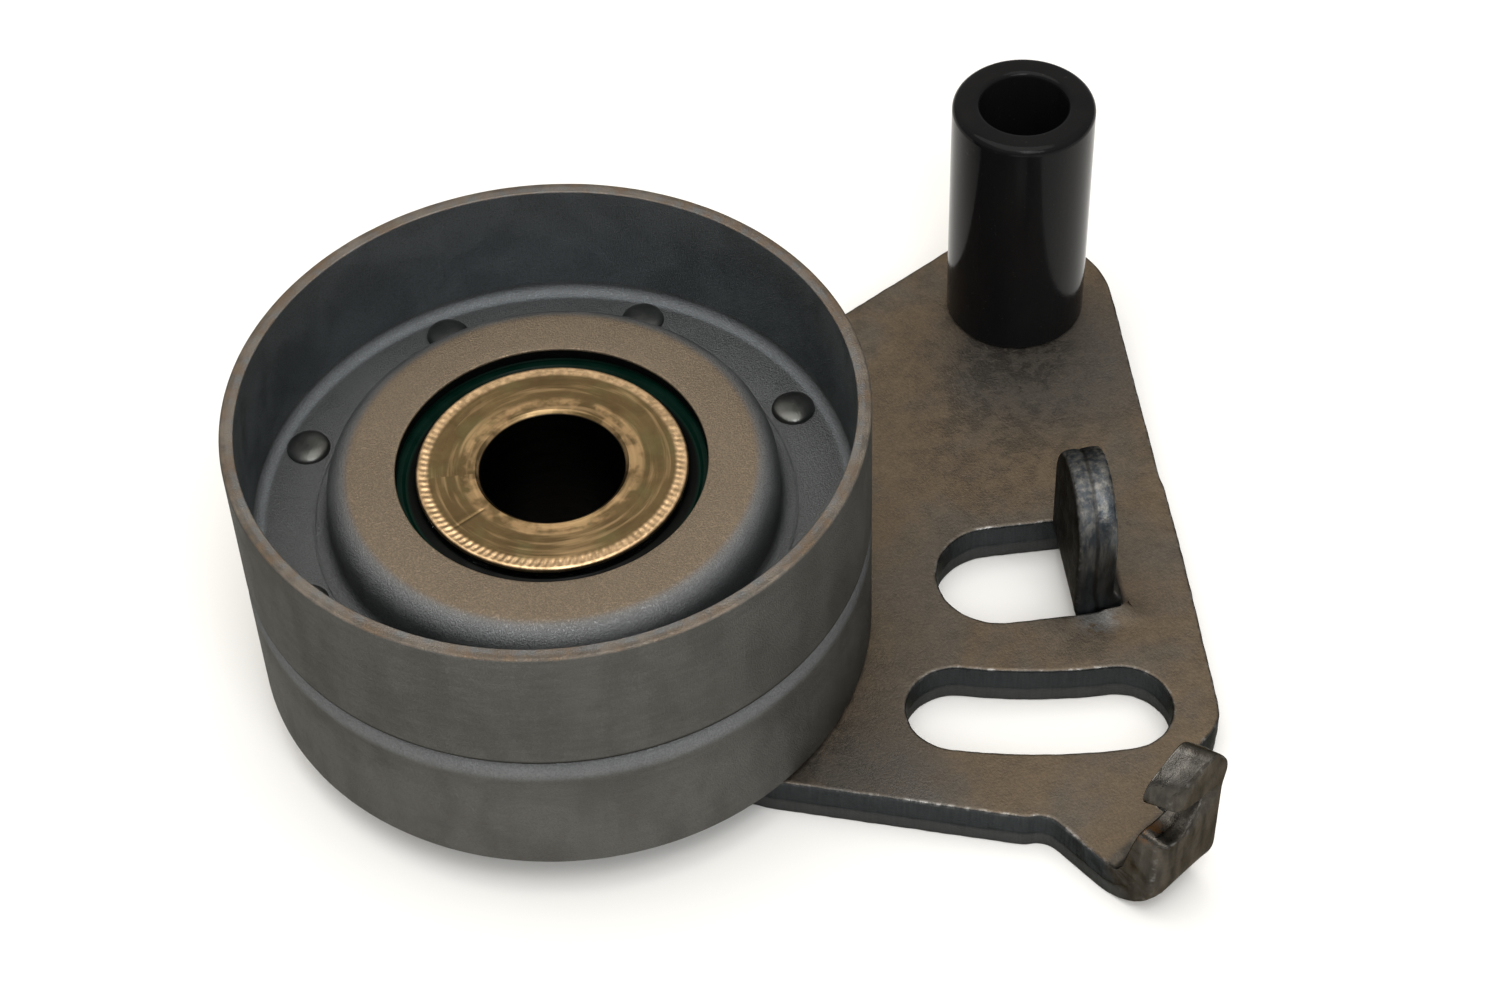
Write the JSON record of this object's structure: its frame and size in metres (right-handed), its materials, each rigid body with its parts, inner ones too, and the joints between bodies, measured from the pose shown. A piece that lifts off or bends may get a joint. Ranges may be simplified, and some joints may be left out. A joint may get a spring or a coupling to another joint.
{
  "type": "belt tensioner idler",
  "caption": "Flat belt idler pulley on a sealed ball bearing, carried by a stamped swinging bracket with pivot sleeve, arc adjusting slot, index tab and spring hook.",
  "frame": {"origin": "centre of the underside of the whole object: the middle of its bounding box, on the plane the bracket rests on", "axes": "+Z along the pulley and pivot axes, from the bracket towards the open cup; +X from the pulley towards the bracket's slots; +Y from the hook towards the pivot sleeve"},
  "size_m": [0.092, 0.089, 0.0353],
  "materials": {
    "bare_steel": "bare stamped steel with brown mottling and bright sheared burrs",
    "pressed_steel": "satin deep-drawn steel",
    "black_oxide": "gloss black",
    "golden_metal": "turned, satin golden",
    "turned_steel": "turned steel",
    "bearing_steel": "ground bearing steel",
    "ball_steel": "polished bearing steel",
    "cage_steel": "pressed steel strip",
    "seal_rubber": "matt dark green rubber",
    "rivet_steel": "smooth dark steel"
  },
  "bodies": {
    "pivot": {"pivot_sleeve": "black_oxide"},
    "bracket": {"bracket_plate": "bare_steel", "hub_sleeve": "golden_metal", "hub_spacer": "turned_steel", "bearing_inner_ring": "bearing_steel"},
    "pulley": {"pulley_cup_upper": "pressed_steel", "pulley_cup_lower": "pressed_steel", "bearing_outer_ring": "bearing_steel", "bearing_seal_upper": "seal_rubber", "bearing_seal_lower": "seal_rubber", "pulley_rivet_1": "rivet_steel", "pulley_rivet_2": "rivet_steel", "pulley_rivet_3": "rivet_steel", "pulley_rivet_4": "rivet_steel", "pulley_rivet_5": "rivet_steel", "pulley_rivet_6": "rivet_steel", "pulley_rivet_7": "rivet_steel", "pulley_rivet_8": "rivet_steel"},
    "ball_cage": {"bearing_cage_upper": "cage_steel", "bearing_cage_lower": "cage_steel"},
    "ball_1": {"bearing_ball_1": "ball_steel"},
    "ball_2": {"bearing_ball_2": "ball_steel"},
    "ball_3": {"bearing_ball_3": "ball_steel"},
    "ball_4": {"bearing_ball_4": "ball_steel"},
    "ball_5": {"bearing_ball_5": "ball_steel"},
    "ball_6": {"bearing_ball_6": "ball_steel"},
    "ball_7": {"bearing_ball_7": "ball_steel"},
    "ball_8": {"bearing_ball_8": "ball_steel"}
  },
  "joints": [
    {"name": "arm_swing", "type": "hinge", "parent": "pivot", "child": "bracket", "pos_m": [0.0354, 0.03387, 0], "axis": [0, 0, 1], "range_deg": [-9, 9]},
    {"name": "pulley_spin", "type": "hinge", "parent": "bracket", "child": "pulley", "pos_m": [-0.016, -0.00313, 0.0203], "axis": [0, 0, 1], "continuous": true},
    {"name": "cage_spin", "type": "hinge", "parent": "bracket", "child": "ball_cage", "pos_m": [-0.016, -0.00313, 0.0203], "axis": [0, 0, 1], "continuous": true},
    {"name": "ball_spin_1", "type": "hinge", "parent": "ball_cage", "child": "ball_1", "pos_m": [-0.00175, -0.00313, 0.0203], "axis": [0, 0, 1], "continuous": true},
    {"name": "ball_spin_2", "type": "hinge", "parent": "ball_cage", "child": "ball_2", "pos_m": [-0.00592, 0.00694, 0.0203], "axis": [0, 0, 1], "continuous": true},
    {"name": "ball_spin_3", "type": "hinge", "parent": "ball_cage", "child": "ball_3", "pos_m": [-0.016, 0.01112, 0.0203], "axis": [0, 0, 1], "continuous": true},
    {"name": "ball_spin_4", "type": "hinge", "parent": "ball_cage", "child": "ball_4", "pos_m": [-0.02608, 0.00694, 0.0203], "axis": [0, 0, 1], "continuous": true},
    {"name": "ball_spin_5", "type": "hinge", "parent": "ball_cage", "child": "ball_5", "pos_m": [-0.03025, -0.00313, 0.0203], "axis": [0, 0, 1], "continuous": true},
    {"name": "ball_spin_6", "type": "hinge", "parent": "ball_cage", "child": "ball_6", "pos_m": [-0.02608, -0.01321, 0.0203], "axis": [0, 0, 1], "continuous": true},
    {"name": "ball_spin_7", "type": "hinge", "parent": "ball_cage", "child": "ball_7", "pos_m": [-0.016, -0.01738, 0.0203], "axis": [0, 0, 1], "continuous": true},
    {"name": "ball_spin_8", "type": "hinge", "parent": "ball_cage", "child": "ball_8", "pos_m": [-0.00592, -0.01321, 0.0203], "axis": [0, 0, 1], "continuous": true}
  ],
  "couplings": [
    {"joint": "cage_spin", "follows": "pulley_spin", "ratio": 0.6184},
    {"joint": "ball_spin_1", "follows": "pulley_spin", "ratio": 1.9937},
    {"joint": "ball_spin_2", "follows": "pulley_spin", "ratio": 1.9937},
    {"joint": "ball_spin_3", "follows": "pulley_spin", "ratio": 1.9937},
    {"joint": "ball_spin_4", "follows": "pulley_spin", "ratio": 1.9937},
    {"joint": "ball_spin_5", "follows": "pulley_spin", "ratio": 1.9937},
    {"joint": "ball_spin_6", "follows": "pulley_spin", "ratio": 1.9937},
    {"joint": "ball_spin_7", "follows": "pulley_spin", "ratio": 1.9937},
    {"joint": "ball_spin_8", "follows": "pulley_spin", "ratio": 1.9937}
  ]
}
